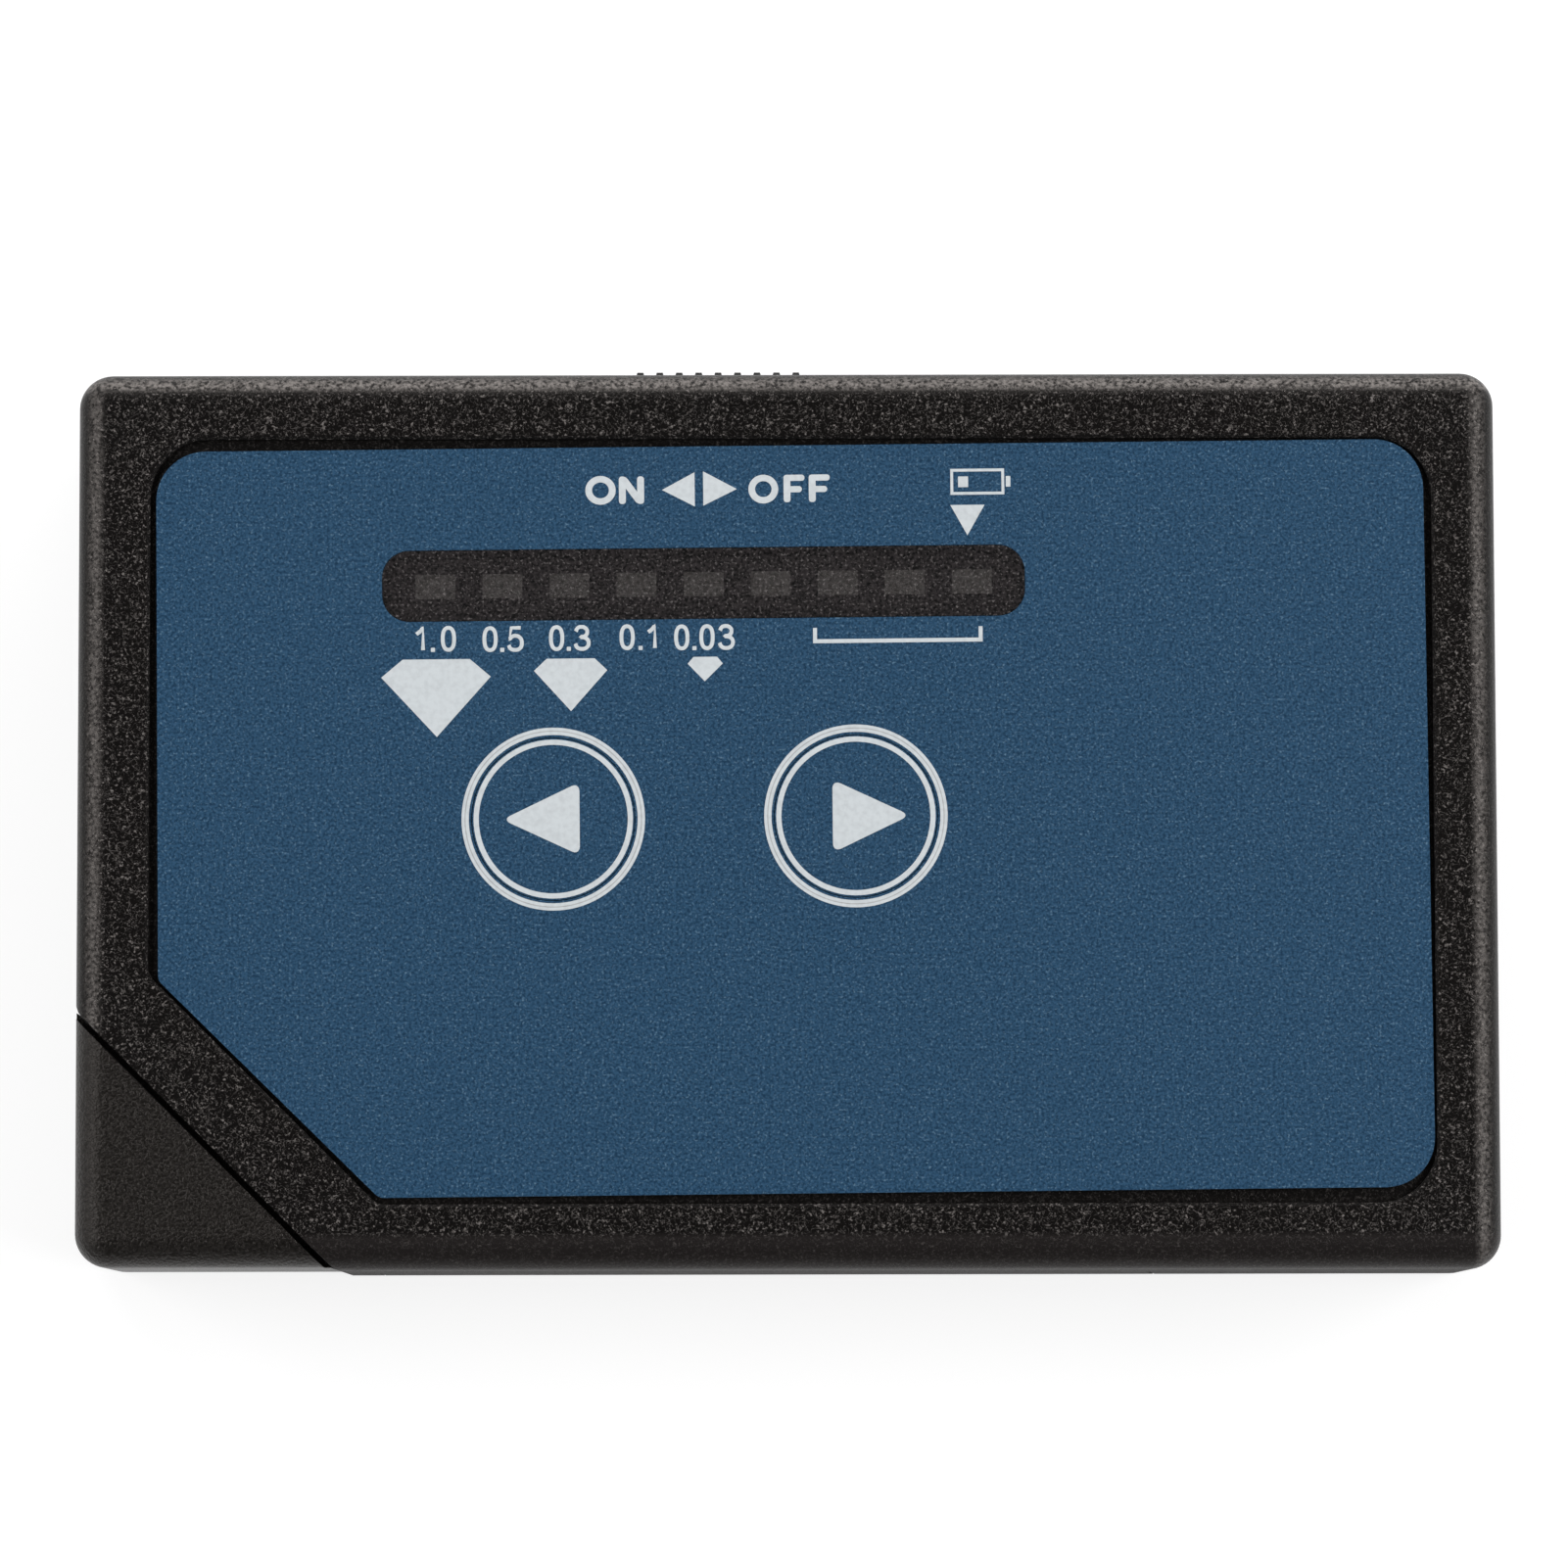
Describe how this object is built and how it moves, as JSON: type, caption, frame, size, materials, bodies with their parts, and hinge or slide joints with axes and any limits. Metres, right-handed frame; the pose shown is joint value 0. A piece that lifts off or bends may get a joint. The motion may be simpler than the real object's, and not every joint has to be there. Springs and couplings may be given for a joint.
{
  "type": "diamond tester",
  "caption": "Pocket card-shaped thermal gem tester with a light bar, two arrow keys, a slide switch, a pull-off probe cap and a sliding battery door.",
  "frame": {"origin": "middle of the case's rear face, which is its widest flat face", "axes": "+X along the longer side, +Y towards the side with the slide switch, +Z out of the printed face"},
  "size_m": [0.0922, 0.0591, 0.016],
  "materials": {
    "case_plastic": "spark-textured black",
    "cap_plastic": "smooth matt black",
    "overlay_sheet": "fine-grained blue printed sheet",
    "adhesive": "black adhesive film",
    "smoked_window": "smoked translucent sheet",
    "led_lens": "diffused resin",
    "circuit_board": "solder mask",
    "chip_resin": "moulded resin",
    "aluminium_can": "drawn",
    "trimmer_body": "moulded",
    "header_nylon": "moulded",
    "plated_steel": "nickel plated",
    "screw_steel": "zinc plated",
    "knob_plastic": "matt dark grey",
    "switch_plastic": "moulded",
    "buzzer_plastic": "moulded",
    "cell_jacket": "printed jacket",
    "contact_brass": "stamped",
    "nozzle_chrome": "turned and plated",
    "copper_tip": "polished copper",
    "white_ceramic": "fired",
    "insulator": "heat-proof plastic",
    "red_lead": "insulated wire",
    "black_lead": "insulated wire",
    "yellow_lead": "insulated wire",
    "white_lead": "insulated wire"
  },
  "bodies": {
    "case": {"amplifier_chip": "chip_resin", "board_screws": "screw_steel", "bridge_contact": "contact_brass", "buzzer": "buzzer_plastic", "calibration_trimmer": "trimmer_body", "case_screws": "screw_steel", "driver_chip": "chip_resin", "face_overlay": "overlay_sheet", "filter_capacitor": "aluminium_can", "front_shell": "case_plastic", "indicator_led_1": "led_lens", "indicator_led_2": "led_lens", "indicator_led_3": "led_lens", "indicator_led_4": "led_lens", "indicator_led_5": "led_lens", "indicator_led_6": "led_lens", "indicator_led_7": "led_lens", "indicator_led_8": "led_lens", "indicator_led_9": "led_lens", "indicator_window": "smoked_window", "left_buzzer_lead": "black_lead", "left_probe_lead": "yellow_lead", "left_tact_switch": "switch_plastic", "left_wire_header": "header_nylon", "lower_cell": "cell_jacket", "lower_contact_spring": "plated_steel", "main_board": "circuit_board", "negative_contact": "contact_brass", "negative_lead": "black_lead", "overlay_adhesive": "adhesive", "positive_contact": "contact_brass", "positive_lead": "red_lead", "probe_end_plug": "insulator", "probe_holder": "cap_plastic", "probe_nozzle": "nozzle_chrome", "probe_spring": "plated_steel", "rear_shell": "case_plastic", "right_buzzer_lead": "red_lead", "right_probe_lead": "white_lead", "right_tact_switch": "switch_plastic", "right_wire_header": "header_nylon", "switch_body": "plated_steel", "upper_cell": "cell_jacket", "upper_contact_spring": "plated_steel"},
    "cap": {"probe_cap": "cap_plastic"},
    "tip": {"probe_tip": "copper_tip", "probe_heater": "white_ceramic"},
    "switch": {"switch_knob": "knob_plastic", "switch_lever": "switch_plastic"},
    "left_key": {"left_key_face": "overlay_sheet", "left_key_plunger": "switch_plastic", "left_tact_stem": "header_nylon"},
    "right_key": {"right_key_face": "overlay_sheet", "right_key_plunger": "switch_plastic", "right_tact_stem": "header_nylon"},
    "door": {"battery_door": "case_plastic"}
  },
  "joints": [
    {"name": "cap_pull", "type": "slide", "parent": "case", "child": "cap", "axis": [-0.7071, -0.7071, 0], "range_m": [0, 0.025]},
    {"name": "tip_press", "type": "slide", "parent": "case", "child": "tip", "axis": [0.7071, 0.7071, 0], "range_m": [0, 0.001], "stiffness_N_per_m": 300, "springref_m": -0.0005, "deforming": ["probe_spring"]},
    {"name": "switch_slide", "type": "slide", "parent": "case", "child": "switch", "axis": [-1, 0, 0], "range_m": [0, 0.0025]},
    {"name": "left_key_press", "type": "slide", "parent": "case", "child": "left_key", "axis": [0, 0, -1], "range_m": [0, 0.0003], "stiffness_N_per_m": 500, "springref_m": -0.0003},
    {"name": "right_key_press", "type": "slide", "parent": "case", "child": "right_key", "axis": [0, 0, -1], "range_m": [0, 0.0003], "stiffness_N_per_m": 500, "springref_m": -0.0003},
    {"name": "door_slide", "type": "slide", "parent": "case", "child": "door", "axis": [0, -1, 0], "range_m": [0, 0.026]}
  ]
}
